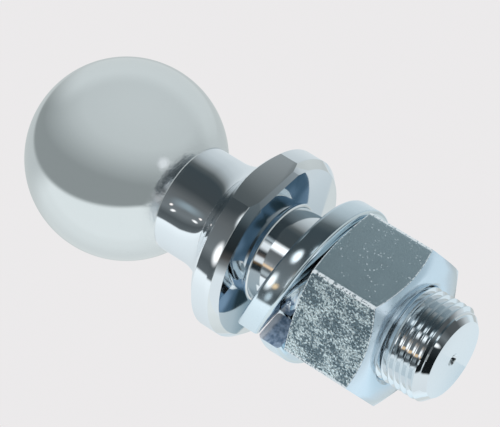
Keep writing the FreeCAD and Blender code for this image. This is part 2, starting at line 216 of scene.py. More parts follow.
class TowBallStudio(bpy.types.PropertyGroup):
    """The camera and the light."""

    azimuth: angle("Azimuth", -34.74, "Where the camera stands round the stud's axis")
    elevation: angle("Elevation", -24.68, "How high the camera stands over the origin's level")
    distance: length("Distance", 669.07, "From the camera to the point it aims past")
    roll: angle("Roll", -58.49, "How far the picture is turned")
    aim: FloatVectorProperty(name="Aim", description="Point that the middle of the picture shows",
                             default=(0.003627, -0.002515, 0.011851), subtype="XYZ", unit="LENGTH")
    lens: FloatProperty(name="Lens", description="Focal length on a 36 mm sensor, in millimetres",
                        default=198.28, min=10.0)
    backdrop: colour("Backdrop", (0.836, 0.822, 0.829), "Colour of the floor and the backdrop")
    floor_depth: length("Floor depth", 1800.0, "How far the floor lies below the bearing face")
    tent_radius: length("Tent radius", 1500.0, "Radius of the tent that only reflections show")
    ring_height: length("Ring height", 27.3, "Height of the ring that the lower pieces mirror")
    ring_inner: length("Ring opening", 14.5, "Inner radius of that ring")
    ring_outer: length("Ring reach", 900.0, "Outer radius of that ring")
    lower_drop: length("Lower ring drop", 60.0, "Depth of the ring that the undersides mirror")
    near_reach: length("Near reach", 88.0, "How near a piece must be to mirror the lower ring")


class Settings(bpy.types.PropertyGroup):
    """All the sizes and colours, by piece."""

    stud: PointerProperty(type=TowBallStudSizes, name="Stud", description="Sizes of the stud")
    washer: PointerProperty(type=TowBallWasherSizes, name="Washer", description="Sizes of the washer")
    nut: PointerProperty(type=TowBallNutSizes, name="Nut", description="Sizes of the nut")
    finish: PointerProperty(type=TowBallFinish, name="Finish", description="Colours of the plating")
    studio: PointerProperty(type=TowBallStudio, name="Studio", description="Camera and light")


# Shared modelling steps


def deselect_all():
    for item in bpy.context.view_layer.objects:
        item.select_set(False)


def select_everything():
    bpy.ops.mesh.select_all(action="SELECT")


def start_piece(name):
    """Name the primitive just added, and open it for editing."""
    piece = bpy.context.object
    piece.name = name
    piece.data.name = name
    bpy.ops.object.transform_apply(location=True, rotation=True, scale=True)
    bpy.ops.object.mode_set(mode="EDIT")
    bpy.ops.mesh.select_mode(type="VERT")
    return piece


def edit_mesh(piece):
    """The open piece's editable mesh, with its index tables ready."""
    mesh = bmesh.from_edit_mesh(piece.data)
    mesh.verts.ensure_lookup_table()
    mesh.edges.ensure_lookup_table()
    mesh.faces.ensure_lookup_table()
    return mesh


def select_where(piece, test, part="verts"):
    """Select exactly the vertices, edges or faces that pass the test."""
    bpy.ops.mesh.select_mode(type=SELECT_MODES[part])
    bpy.ops.mesh.select_all(action="DESELECT")
    mesh = edit_mesh(piece)
    for item in getattr(mesh, part):
        if test(item):
            item.select_set(True)
    mesh.select_flush_mode()
    bmesh.update_edit_mesh(piece.data)


def finish_piece(piece, body, node, material, smooth_angle=math.radians(32)):
    """Close the edit, set the shading and finish, and hang the piece on the frame."""
    select_everything()
    bpy.ops.mesh.remove_doubles(threshold=JOIN)
    bpy.ops.mesh.normals_make_consistent(inside=False)
    bpy.ops.object.mode_set(mode="OBJECT")
    bpy.ops.object.shade_smooth_by_angle(angle=smooth_angle)
    piece.data.materials.clear()
    piece.data.materials.append(material)
    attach(piece, body)
    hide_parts(node)


def arc_points(centre_radius, centre_height, radius, start, end, steps):
    """Points of a turned profile along an arc, with angles in degrees from the outward side."""
    points = []
    for step in range(steps + 1):
        turn = math.radians(start + (end - start) * step / steps)
        points.append((centre_radius + radius * math.cos(turn), centre_height + radius * math.sin(turn)))
    return points


def rounded(corners, radius, steps=3):
    """A turned profile whose inner corners are rounded by the given radius."""
    points = [corners[0]]
    for before, corner, after in zip(corners, corners[1:], corners[2:]):
        here = Vector(corner)
        back = (Vector(before) - here).normalized()
        ahead = (Vector(after) - here).normalized()
        half = back.angle(ahead) / 2
        reach = radius / math.tan(half)
        first = here + back * reach
        last = here + ahead * reach
        for step in range(steps + 1):
            share = step / steps
            mixed = first.lerp(here, share).lerp(here.lerp(last, share), share)
            points.append((mixed.x, mixed.y))
    points.append(corners[-1])
    return points


def turn_profile(points):
    """Extrude the selected ring through the points of a turned profile, from its first one."""
    for (radius, height), (next_radius, next_height) in zip(points, points[1:]):
        bpy.ops.mesh.extrude_edges_move(TRANSFORM_OT_translate={"value": (0, 0, next_height - height)})
        scale = next_radius / radius
        bpy.ops.transform.resize(value=(scale, scale, 1), center_override=(0, 0, next_height))


def thread_depth_share(height, azimuth):
    """How deep the thread is cut at a place: 0 on the crest, 1 in the root, by a 60 degree form."""
    phase = (height / PITCH - azimuth / (2 * math.pi)) % 1.0
    from_crest = min(phase, 1.0 - phase)
    return min(max((from_crest - CREST_HALF) / (0.5 - ROOT_HALF - CREST_HALF), 0.0), 1.0)


def thread_depth():
    """Depth of the 60 degree thread form: five eighths of the sharp triangle's height."""
    return 5 / 8 * PITCH * math.cos(HALF_60)


# Materials


def node(tree, kind, inputs=(), **settings):
    """A node with its settings and its fixed or linked inputs, set down after those before it."""
    made = tree.nodes.new(kind)
    row, column = divmod(len(tree.nodes), NODES_PER_ROW)
    made.location = (column * NODE_SPACING, -row * NODE_SPACING)
    for name, value in settings.items():
        setattr(made, name, value)
    for key, value in dict(inputs).items():
        if isinstance(value, bpy.types.NodeSocket):
            tree.links.new(value, made.inputs[key])
        else:
            made.inputs[key].default_value = value
    return made


def maths(tree, operation, *values, clamp=False):
    """A Math node fed by sockets or numbers, giving its output."""
    made = node(tree, "ShaderNodeMath", enumerate(values), operation=operation, use_clamp=clamp)
    return made.outputs[0]


def times(tree, first, second):
    return maths(tree, "MULTIPLY", first, second)


def split(tree, vector):
    """The X, Y and Z of a vector."""
    return node(tree, "ShaderNodeSeparateXYZ", {0: vector}).outputs[:]


def from_axis(tree, place):
    """How far a place lies from the stud's axis."""
    x, y = split(tree, place)[:2]
    square = maths(tree, "ADD", times(tree, x, x), times(tree, y, y))
    return maths(tree, "SQRT", square)


def dot(tree, vector, direction):
    """How far a vector reaches along a fixed direction."""
    made = node(tree, "ShaderNodeVectorMath", {0: vector, 1: direction}, operation="DOT_PRODUCT")
    return made.outputs["Value"]


def ease(tree, value, start, end):
    """A soft step from 0 at the start to 1 at the end."""
    inputs = {"Value": value, "From Min": start, "From Max": end}
    return node(tree, "ShaderNodeMapRange", inputs, interpolation_type="SMOOTHSTEP").outputs["Result"]


def mix(tree, share, first, second):
    """Mix two colours, each fixed or from a node."""
    pair = [value if isinstance(value, bpy.types.NodeSocket) else (*value, 1) for value in (first, second)]
    return node(tree, "ShaderNodeMix", {0: share, 6: pair[0], 7: pair[1]}, data_type="RGBA").outputs[2]


def effect_group(name, output, **inputs):
    """A node group with a Vector, more inputs and one output, and what it is given."""
    group = bpy.data.node_groups.new(name, "ShaderNodeTree")
    group.interface.new_socket("Vector", in_out="INPUT", socket_type="NodeSocketVector")
    for label, value in inputs.items():
        socket = group.interface.new_socket(label, in_out="INPUT", socket_type="NodeSocketFloat")
        socket.default_value = value
    group.interface.new_socket(output, in_out="OUTPUT", socket_type="NodeSocketFloat")
    return group, node(group, "NodeGroupInput").outputs


def haze_group():
    """Faint cloudy variation of a plated surface, as a mask round one half."""
    group, given = effect_group("Plating haze", "Mask", Scale=90.0)
    inputs = {"Vector": given["Vector"], "Scale": given["Scale"], "Detail": 4.0}
    cloud = node(group, "ShaderNodeTexNoise", inputs)
    node(group, "NodeGroupOutput", {"Mask": cloud.outputs["Fac"]})
    return group


def pits_group():
    """Sparse pits of uneven size, as a mask: 1 in a pit."""
    group, given = effect_group("Pits", "Mask", Scale=900.0, Amount=0.3)
    cells = node(group, "ShaderNodeTexVoronoi", {"Vector": given["Vector"], "Scale": given["Scale"]},
                 feature="F1")
    coarse = times(group, given["Scale"], 0.22)
    cluster = node(group, "ShaderNodeTexNoise", {"Vector": given["Vector"], "Scale": coarse, "Detail": 2.0})
    reach = times(group, cluster.outputs["Fac"], given["Amount"])
    inside = maths(group, "SUBTRACT", reach, cells.outputs["Distance"])
    node(group, "NodeGroupOutput", {"Mask": maths(group, "MULTIPLY", inside, 9.0, clamp=True)})
    return group


def turning_group():
    """Fine lines left by turning, as a height that changes with radius and height only."""
    group, given = effect_group("Turning lines", "Height", Spacing=0.0003)
    height = split(group, given["Vector"])[2]
    path = maths(group, "ADD", from_axis(group, given["Vector"]), height)
    scaled = maths(group, "DIVIDE", path, given["Spacing"])
    lines = node(group, "ShaderNodeTexNoise", {"W": scaled, "Scale": 1.0, "Detail": 3.0},
                 noise_dimensions="1D")
    node(group, "NodeGroupOutput", {"Height": lines.outputs["Fac"]})
    return group


# The effects that more than one finish uses, each built once
EFFECTS = {"Plating haze": haze_group, "Pits": pits_group, "Turning lines": turning_group}


def effect(tree, name, vector, **values):
    """A shared effect on a surface, giving its mask or height."""
    group = bpy.data.node_groups.get(name) or EFFECTS[name]()
    inputs = {"Vector": vector, **values}
    return node(tree, "ShaderNodeGroup", inputs, node_tree=group, label=name).outputs[0]


def new_metal(name, metal_colour):
    """A metal with its principled shader and its object coordinates."""
    material = bpy.data.materials.new(name)
    material.use_nodes = True
    tree = material.node_tree
    tree.nodes.clear()
    shader = node(tree, "ShaderNodeBsdfPrincipled", {"Base Color": (*metal_colour, 1), "Metallic": 1.0})
    node(tree, "ShaderNodeOutputMaterial", {"Surface": shader.outputs[0]})
    return material, tree, shader, node(tree, "ShaderNodeTexCoord").outputs["Object"]


def add_bump(tree, shader, height, strength, distance):
    bump = node(tree, "ShaderNodeBump", {"Strength": strength, "Distance": distance, "Height": height})
    tree.links.new(bump.outputs["Normal"], shader.inputs["Normal"])


def chrome_material(finish):
    """Polished chrome: a faint haze and hardly any turning lines."""
    material, tree, shader, place = new_metal("polished_chrome", finish.chrome)

    # The hollow between ball and neck is out of the polishing wheel's reach
    z = split(tree, place)[2]
    hollow = times(tree, ease(tree, z, *HOLLOW_TOP), ease(tree, z, *HOLLOW_FOOT))
    rough_marks = times(tree, effect(tree, "Plating haze", place, Scale=900.0), hollow)
    faint_lines = times(tree, effect(tree, "Turning lines", place, Spacing=0.9 * MM), 0.02)
    add_bump(tree, shader, maths(tree, "ADD", rough_marks, faint_lines), 1.0, 0.05 * MM)
    polish = maths(tree, "MULTIPLY_ADD", effect(tree, "Plating haze", place, Scale=70.0), 0.06, 0.03)
    roughness = maths(tree, "MAXIMUM", polish, times(tree, hollow, 0.22))
    tree.links.new(roughness, shader.inputs["Roughness"])
    return material


def lies_beyond(tree, place, direction, reach):
    """1 where a place lies further than the reach towards a direction round the axis, 0 elsewhere."""
    way = (math.cos(direction), math.sin(direction), 0)
    return maths(tree, "GREATER_THAN", dot(tree, place, way), reach)


def washer_material(finish, size):
    """Bright zinc on a rolled bar, rougher where the bar was sheared."""
    material, tree, shader, place = new_metal("washer_zinc_plate", finish.washer_zinc)
    haze = effect(tree, "Plating haze", place, Scale=160.0)
    cut = size.cut_azimuth - size.gap_angle / 2
    before = lies_beyond(tree, place, cut + math.pi / 2, -SHEARED_REACH)
    behind = lies_beyond(tree, place, cut + math.pi / 2, SHEARED_REACH)
    near_side = lies_beyond(tree, place, cut, 0.0)
    sheared = times(tree, maths(tree, "SUBTRACT", before, behind), near_side)
    polish = maths(tree, "MULTIPLY_ADD", haze, 0.10, 0.05)
    roughness = maths(tree, "MAXIMUM", polish, times(tree, sheared, SHEARED_ROUGHNESS))
    tree.links.new(roughness, shader.inputs["Roughness"])

    # The sheared ends are a speckled blue, with a painted highlight towards their top
    marks = effect(tree, "Plating haze", place, Scale=900.0)
    lifted = maths(tree, "MULTIPLY_ADD", marks, 1.2 * MM, split(tree, place)[2])
    speckled = mix(tree, ease(tree, marks, 0.35, 0.65), *SHEARED_BLUES)
    with_highlight = mix(tree, ease(tree, lifted, *SHEARED_HIGHLIGHT_FADE), speckled, SHEARED_HIGHLIGHT)
    tree.links.new(mix(tree, sheared, finish.washer_zinc, with_highlight), shader.inputs["Base Color"])
    metallic = maths(tree, "SUBTRACT", 1.0, times(tree, sheared, 0.75))
    tree.links.new(metallic, shader.inputs["Metallic"])
    pits = effect(tree, "Pits", place, Scale=700.0, Amount=0.25)
    add_bump(tree, shader, times(tree, pits, -1.0), 0.25, 0.02 * MM)
    return material


def nut_masks(tree, place, size, top, foot):
    """Masks for the nut: its flats, and the painted edge highlights at its corners and round its flats."""
    flat = size.across_flats / 2
    face = flat - size.face_inset
    corner = flat / math.cos(HALF_60)
    z = split(tree, place)[2]
    radius = from_axis(tree, place)
    on_flat = maths(tree, "GREATER_THAN", radius, face + 0.3 * MM)
    arcs = []
    for level, slope in ((foot, size.end_angle), (top, -size.bearing_angle)):
        rise = times(tree, maths(tree, "SUBTRACT", radius, face), math.tan(slope))
        height = maths(tree, "SUBTRACT", z, level)
        gap = maths(tree, "ABSOLUTE", maths(tree, "SUBTRACT", height, rise))
        on_flat = times(tree, on_flat, maths(tree, "GREATER_THAN", gap, 0.02 * MM))
        arcs.append(ease(tree, gap, *ARC_FADE))
    edges = times(tree, maths(tree, "MAXIMUM", *arcs), 0.8)
    ridge = ease(tree, radius, *(corner - depth for depth in RIDGE_FADE))
    edge_sheen = times(tree, maths(tree, "MAXIMUM", edges, ridge), on_flat)
    return on_flat, edge_sheen


def nut_material(finish, size, top, foot):
    """Bright zinc over a forged nut: one flat coarse and glittering, the rest nearly smooth."""
    material, tree, shader, place = new_metal("nut_zinc_plate", finish.nut_zinc)
    on_flat, edge_sheen = nut_masks(tree, place, size, top, foot)
    coarse_reach = size.across_flats / 2 - 0.1 * MM
    rough = lies_beyond(tree, place, size.turn + COARSE_FLAT, coarse_reach)
    smooth_flat = maths(tree, "SUBTRACT", on_flat, times(tree, rough, 0.6))
    roughness = maths(tree, "MULTIPLY_ADD", smooth_flat, 0.26, 0.12)
    haze = effect(tree, "Plating haze", place, Scale=220.0)
    tree.links.new(maths(tree, "MULTIPLY_ADD", haze, 0.08, roughness), shader.inputs["Roughness"])

    # The coarse crystals of the rough flat, with a few fine pits all over
    coarse = times(tree, effect(tree, "Plating haze", place, Scale=1900.0), rough)
    pits = effect(tree, "Pits", place, Scale=1100.0, Amount=0.42)
    relief = maths(tree, "ADD", coarse, times(tree, pits, -0.06))
    add_bump(tree, shader, relief, finish.grain_depth, 0.30 * MM)

    # Crystals are bright or dark; painted highlight lines along the edges are bright, as are pale specks in
    # the pits
    offset = node(tree, "ShaderNodeVectorMath", {0: place, 1: (0.3, 0.1, 0.2)}, operation="ADD").outputs[0]
    crystals = effect(tree, "Plating haze", offset, Scale=1700.0)
    patches = effect(tree, "Plating haze", offset, Scale=260.0)
    lifted = maths(tree, "MULTIPLY_ADD", patches, 0.7, crystals)
    bright = times(tree, ease(tree, lifted, 0.78, 1.02), rough)
    darker = maths(tree, "SUBTRACT", rough, bright)
    tone = mix(tree, on_flat, finish.nut_zinc, FLAT_ZINC)
    tone = mix(tree, darker, tone, DARK_CRYSTAL)
    tone = mix(tree, bright, tone, BRIGHT_CRYSTAL)
    sheen_flecks = times(tree, ease(tree, crystals, 0.36, 0.50), edge_sheen)
    specks = times(tree, ease(tree, pits, 0.3, 0.8), times(tree, on_flat, 0.5))
    sheen_and_specks = maths(tree, "MAXIMUM", sheen_flecks, specks)
    tree.links.new(mix(tree, sheen_and_specks, tone, SHEEN_AND_SPECK_WHITE), shader.inputs["Base Color"])
    tree.links.new(maths(tree, "SUBTRACT", 1.0, sheen_and_specks), shader.inputs["Metallic"])
    return material


# Pieces


def stud_upper_profile(size):
    """The turned outline from the ball's foot down to where the thread begins."""
    neck = size.neck_diameter / 2
    flange = size.flange_diameter / 2
    bevel = flange - size.bevel_width
    shank = size.shank_diameter / 2
    flare_turn = math.degrees(math.acos(1 - (bevel - neck) / size.flare_radius))
    flare_top = size.bevel_top + size.flare_radius * math.sin(math.radians(flare_turn))
    flare_centre = neck + size.flare_radius
    flare = arc_points(flare_centre, flare_top, size.flare_radius, 180, 180 + flare_turn, steps=20)
    corners = [
        flare[-2],
        flare[-1],
        (flange, size.rim_top),
        (flange, size.foot_height),
        (flange - size.foot_width, 0.0),
        (shank + size.seat_fillet + size.edge_radius, 0.0),
    ]
    fillet_centre = shank + size.seat_fillet
    fillet = arc_points(fillet_centre, -size.seat_fillet, size.seat_fillet, 90, 180, steps=6)
    return flare[:-2] + rounded(corners, size.edge_radius) + fillet


def coil_thread(piece, low, high, radius, radius_limit, columns):
    """Lay the thread's surface as one band that follows the helix, closed level at both ends.

    Its rows are the edges of the crest and of the root, so they stay crisp. The groove fades out
    over the last turn at the top.
    """
    mesh = edit_mesh(piece)
    depth = thread_depth()
    rows = [(1 - CREST_HALF, 0.0), (1 + CREST_HALF, 0.0), (1.5 - ROOT_HALF, 1.0), (1.5 + ROOT_HALF, 1.0)]

    # Spare turns at both ends flatten into the level end rings
    first_turn = math.floor(low / PITCH) - 3
    turns = math.ceil((high - low) / PITCH) + 5
    grid = []
    for turn in range(first_turn, first_turn + turns):
        for rise, share in rows:
            line = []
            for column in range(columns):
                height = (turn + rise + column / columns) * PITCH
                height = min(max(height, low), high)
                fading = min((high - height) / PITCH, 1.0)
                reach = min(radius - depth * share * fading, radius_limit(height))
                azimuth = 2 * math.pi * column / columns
                line.append(mesh.verts.new((reach * math.cos(azimuth), reach * math.sin(azimuth), height)))
            grid.append(line)
    for row in range(len(grid) - len(rows) - 1):
        for column in range(columns - 1):
            mesh.faces.new((grid[row][column], grid[row][column + 1],
                            grid[row + 1][column + 1], grid[row + 1][column]))
        mesh.faces.new((grid[row][columns - 1], grid[row + len(rows)][0],
                        grid[row + len(rows) + 1][0], grid[row + 1][columns - 1]))
    bmesh.update_edit_mesh(piece.data)
    select_everything()
    bpy.ops.mesh.remove_doubles(threshold=JOIN)


def mill_flat(piece, size, side):
    """Cut one wrench flat and its foot bevel off the flange, and close both cuts."""
    flat = size.flange_diameter / 2 - size.flats_depth
    top = size.bevel_top + size.flats_bevel_height
    flat_plane = (Vector((0, side * flat, 0)), Vector((0, side, 0)))
    slope = Vector((0, side * size.flats_bevel_height, -size.flats_bevel_width)).normalized()
    bevel_plane = (Vector((0, side * (flat - size.flats_bevel_width), 0)), slope)

    def lies_in(vertex, plane):
        return abs((vertex.co - plane[0]).dot(plane[1])) < 2 * SAME

    def on_flange(face):
        middle = face.calc_center_median()
        return -10 * SAME < middle.z < top and middle.y * side > 0

    for place, normal in (flat_plane, bevel_plane):
        select_where(piece, on_flange, "faces")
        bpy.ops.mesh.bisect(plane_co=place, plane_no=normal, clear_outer=True, threshold=SAME / 10)

    # The two cuts meet in a straight edge, which divides the opening in two
    select_where(piece, lambda vertex: vertex.is_boundary and lies_in(vertex, flat_plane)
                 and lies_in(vertex, bevel_plane))
    bpy.ops.mesh.edge_face_add()
    for plane in (flat_plane, bevel_plane):
        select_where(piece, lambda edge: len(edge.link_faces) < 2
                     and all(lies_in(vertex, plane) for vertex in edge.verts), "edges")
        bpy.ops.mesh.edge_face_add()
        bpy.ops.mesh.mark_sharp()


class OBJECT_OT_tow_ball_stud(bpy.types.Operator):
    """Model the chrome stud: ball, neck, flange with its flats, and threaded shank"""

    bl_idname = "object.tow_ball_stud"
    bl_label = "Add Ball Stud"

    def execute(self, context):
        size = context.scene.tow_ball.stud
        ball = size.ball_diameter / 2
        neck = size.neck_diameter / 2
        shank = size.shank_diameter / 2
        centre = STUD_HIGH.z - ball
        junction = centre - math.sqrt(ball ** 2 - neck ** 2)
        end = STUD_LOW.z
        run_out = end + size.thread_length + PITCH
        end_radius = shank - size.end_chamfer

        deselect_all()
        bpy.ops.mesh.primitive_uv_sphere_add(segments=size.segments, ring_count=size.segments // 2,
                                             radius=ball, location=(0, 0, centre))
        piece = start_piece("ball_stud_chrome")

        # The ball is open where the neck leaves it, and the neck and flange follow from that ring
        select_everything()
        bpy.ops.mesh.bisect(plane_co=(0, 0, junction), plane_no=(0, 0, -1), clear_outer=True,
                            threshold=SAME)
        select_where(piece, lambda vertex: vertex.co.z < junction + SAME)
        for vertex in edit_mesh(piece).verts:
            if vertex.select:
                vertex.co.xy *= neck / vertex.co.xy.length
        profile = [(neck, junction)] + stud_upper_profile(size) + [(shank, run_out)]
        turn_profile(profile)

        # The threaded length, with the chamfer that its end is turned to
        def inside_chamfer(height):
            return min(end_radius + height - end, shank)

        coil_thread(piece, end, run_out, shank, inside_chamfer, size.segments)
        select_where(piece, lambda vertex: abs(vertex.co.z - end) < SAME)

        # The end face, and the centre drilling with its countersink
        mouth = size.mouth_diameter / 2
        pilot = size.hole_diameter / 2
        cone = (mouth - pilot) / math.tan(HALF_60)
        hole_floor = end + size.hole_depth
        end_land = 0.6 * MM
        lip_width, lip_depth = 0.05 * MM, 0.09 * MM
        drill_point, point_share = 0.2 * MM, 0.1
        turn_profile([
            (end_radius, end),
            (end_radius - end_land, end),
            (mouth + LAND, end),
            (mouth, end),
            (mouth - lip_width, end + lip_depth),
            (pilot, end + cone),
            (pilot, hole_floor - drill_point),
            (pilot * point_share, hole_floor),
        ])
        bpy.ops.mesh.edge_face_add()
        for side in (1, -1):
            mill_flat(piece, size, side)
        finish_piece(piece, "stud", "ball_stud", chrome_material(context.scene.tow_ball.finish))
        return {"FINISHED"}


class OBJECT_OT_tow_ball_washer(bpy.types.Operator):
    """Coil the spring washer from its bar"""

    bl_idname = "object.tow_ball_washer"
    bl_label = "Add Spring Washer"

    def execute(self, context):
        size = context.scene.tow_ball.washer
        shank = context.scene.tow_ball.stud.shank_diameter / 2
        inner = shank + size.bore_clearance
        middle = inner + size.bar_width / 2
        rest = NUT_HIGH.z + size.seat_clearance + size.bar_thickness / 2
        sweep = 2 * math.pi - size.gap_angle

        # The bar's section stands on the cut, its corners rounded, and is spun round the axis
        deselect_all()
        bpy.ops.mesh.primitive_plane_add(size=1, location=(middle, 0, rest),
                                         rotation=(math.pi / 2, 0, 0))
        bpy.context.object.scale = (size.bar_width, size.bar_thickness, 1)
        piece = start_piece("spring_washer_zinc")
        select_everything()
        bpy.ops.mesh.bevel(offset=size.edge_radius, segments=5, affect="VERTICES")
        select_everything()
        turn = Matrix.Rotation(size.cut_azimuth, 4, "Z")
        bpy.ops.mesh.spin(steps=WASHER_STEPS, angle=sweep, center=(0, 0, 0), axis=(0, 0, -1))

        # The first section may measure as a whole turn, which is no turn at all
        rounding = 0.01
        mesh = edit_mesh(piece)
        for vertex in mesh.verts:
            place = vertex.co
            turned = math.atan2(place.y, place.x) % (2 * math.pi)
            if turned > sweep + rounding:
                turned = 0.0
            share = min(turned / size.lift_angle, 1.0)
            heel_share = min((sweep - turned) / size.heel_angle, 1.0)
            place.z += size.lift * (1 - share) ** 2 + size.heel_lift * (1 - heel_share) ** 2
            vertex.co = turn @ place
        bmesh.update_edit_mesh(piece.data)
        finish_piece(piece, "washer", "spring_washer",
                     washer_material(context.scene.tow_ball.finish, size), smooth_angle=math.radians(40))
        return {"FINISHED"}


class OBJECT_OT_tow_ball_nut(bpy.types.Operator):
    """Model the hexagon nut with its turned corners and its internal thread"""

    bl_idname = "object.tow_ball_nut"
    bl_label = "Add Hexagon Nut"

    def execute(self, context):
        size = context.scene.tow_ball.nut
        shank = context.scene.tow_ball.stud.shank_diameter / 2
        top, foot = NUT_HIGH.z, NUT_LOW.z
        flat = size.across_flats / 2
        corner = flat / math.cos(HALF_60)
        face = flat - size.face_inset
        bore = shank + size.thread_clearance
        mouth = bore + size.countersink

        # One hexagon ring with rounded corners, divided along its sides
        deselect_all()
        bpy.ops.mesh.primitive_circle_add(vertices=6, radius=corner, location=(0, 0, top),
                                          rotation=(0, 0, size.turn + HALF_60))
        piece = start_piece("hex_nut_zinc")
        select_everything()
        reach = size.corner_radius * math.tan(HALF_60)
        bpy.ops.mesh.bevel(offset=reach, segments=size.corner_steps, affect="VERTICES")
        select_where(piece, lambda edge: edge.calc_length() > flat / 2, "edges")
        bpy.ops.mesh.subdivide(number_cuts=size.side_steps - 1)
        select_everything()

        # Down the flats, then in over the end face, down to the mouth and up through the bore
        def drop(height):
            bpy.ops.mesh.extrude_edges_move(TRANSFORM_OT_translate={"value": (0, 0, height)})

        def make_round(radius):
            mesh = edit_mesh(piece)
            for vertex in mesh.verts:
                if vertex.select:
                    vertex.co.xy *= radius / vertex.co.xy.length
            bmesh.update_edit_mesh(piece.data)

        drop(foot - top)
        for radius, height in ((face, 0.0), (mouth + LAND, 0.0), (mouth, 0.0),
                               (bore, size.countersink)):
            drop(height)
            make_round(radius)
        low = foot + size.countersink
        high = top - size.countersink
        drop(high - low)

        def upright(edge):
            heights = sorted(vertex.co.z for vertex in edge.verts)
            inside = all(vertex.co.xy.length < mouth for vertex in edge.verts)
            return inside and abs(heights[0] - low) < SAME and abs(heights[1] - high) < SAME

        select_where(piece, upright, "edges")
        rings = math.ceil((high - low) / PITCH * THREAD_RINGS)
        bpy.ops.mesh.subdivide_edgering(number_cuts=rings - 1, interpolation="LINEAR", smoothness=0.0)
        select_where(piece, lambda vertex: abs(vertex.co.z - high) < SAME and vertex.co.xy.length < mouth)
        for radius, height in ((mouth, size.countersink), (mouth + LAND, 0.0), (face, 0.0)):
            drop(height)
            make_round(radius)
        select_where(piece, lambda vertex: abs(vertex.co.z - top) < SAME
                     and vertex.co.xy.length > face - SAME)
        bpy.ops.mesh.bridge_edge_loops()

        # The corners turned off at both ends, and the thread cut in the bore
        depth = thread_depth()
        mesh = edit_mesh(piece)
        for vertex in mesh.verts:
            place = vertex.co
            radius = place.xy.length
            if radius > face + 10 * SAME:
                if place.z > (top + foot) / 2:
                    place.z = top - (radius - face) * math.tan(size.bearing_angle)
                else:
                    place.z = foot + (radius - face) * math.tan(size.end_angle)
            elif radius < mouth - 10 * SAME:
                fading = min((place.z - foot) / size.countersink, (top - place.z) / size.countersink, 1.0)
                share = thread_depth_share(place.z, math.atan2(place.y, place.x))
                wanted = bore - depth * share
                if radius > wanted:
                    place.xy *= (radius + (wanted - radius) * max(fading, 0.0)) / radius
        bmesh.update_edit_mesh(piece.data)
        finish = nut_material(context.scene.tow_ball.finish, size, top, foot)
        finish_piece(piece, "nut", "hex_nut", finish)
        return {"FINISHED"}


# Stage


def seen(level, warmth=-8, blue=-0.5):
    """The shade that chrome shows at a plain 0 to 255 level; a warmth below 0 is cooler."""
    return tuple((max(level + part * warmth, 0) / 255) ** 2.2 / 0.82 for part in (1, 0, blue))


def cloth(level):
    """A shade of the tent, which is nearly grey."""
    return seen(level, -6, 0)


TENT_LEAN = (0.238, 0.888, 0.393)
TABLE_LEAN = (0.0, 0.766, 0.643)
ROOM_MIDDLE = math.radians(235.3)
CARD_STEPS = 96

# What the metal mirrors in each direction round the stud's axis: degrees anticlockwise from +X,
# level, and then warmth and blue where they aren't the usual ones
UPPER_SHADES = [
    (60, 208), (100, 220), (145, 230), (166, 243), (169, 98, -6), (183, 84, -6), (198, 116, -6),
    (231, 99, -4), (250, 70, -6), (290, 70), (302, 90, -6, -0.3), (312, 138, -6, -0.3), (330, 178),
    (350, 196), (385, 208),
]
LOWER_SHADES = [
    (60, 205), (100, 214), (178, 222), (183, 30, -4), (215, 30, -4), (245, 58, -6), (262, 112, -6),
    (277, 78, -4), (307, 86, -4), (322, 134, -4), (337, 182, -6), (355, 200, -8), (400, 200, -8),
]
COLLAR_SHADES = [
    (60, 160, -20), (90, 144, -22), (102, 177, -16), (126, 190, -12), (140, 222), (192, 222),
    (203, 120, -4), (209, 72, 2), (216, 43, -4), (236, 54, -8), (246, 88, -10), (270, 107),
    (294, 134), (308, 156), (320, 196), (345, 206), (366, 204, -10), (400, 186, -12),
]
DEEP_COLLAR_SHADES = [
    (60, 133, -16), (126, 146, -16), (140, 171, -14), (178, 178, -10), (184, 50), (192, 48),
    (197, 92, 22, -1.2), (201, 240, -2), (208, 230, -2), (213, 85, 8), (221, 52, -6),
    (229, 236, -4), (237, 246, -4), (244, 110, -8), (247, 190, -10), (254, 58, -8), (294, 64, -8),
    (318, 110, -10), (342, 132, -14), (400, 134, -18),
]
DEEP_BAND_SHADES = [
    (60, 190), (150, 216), (178, 176, -10), (190, 136, -8), (203, 90, -8), (216, 60, -10),
    (262, 60, -8), (285, 80, -8), (310, 96, -8), (326, 110, -8), (342, 138, -8), (365, 176, -8),
    (400, 190),
]
THREAD_SHADES = [
    (60, 203, -16), (100, 213, -14), (130, 207, -14), (166, 216, -12), (172, 188, -12), (176, 104),
    (180, 56), (188, 42, -6), (194, 62, -6), (198, 110, 0), (202, 250, -2), (212, 262, -4),
    (217, 186, 0), (222, 140, 8, -1.0), (228, 88, -4), (244, 68), (252, 100, -14), (257, 225, -12),
    (264, 232, -12), (269, 110, -14), (276, 62, -10), (291, 66, -10), (303, 92, -14),
    (315, 124, -14), (327, 146, -14), (341, 157, -14), (353, 173, -16), (374, 195, -14),
    (400, 203, -14),
]
NUT_COLLAR_SHADES = [
    (60, 196, -22), (78, 214, -18), (96, 232, -16), (114, 236, -12), (138, 222, -8),
    (174, 205, -10), (190, 198, -10), (198, 214, -10), (210, 188, -10), (222, 176, -10),
    (236, 168, -10), (246, 228, -6), (258, 206, -10), (270, 172, -12), (300, 182, -14),
    (330, 188, -14), (345, 196, -14), (358, 222, -12), (400, 220, -14),
]

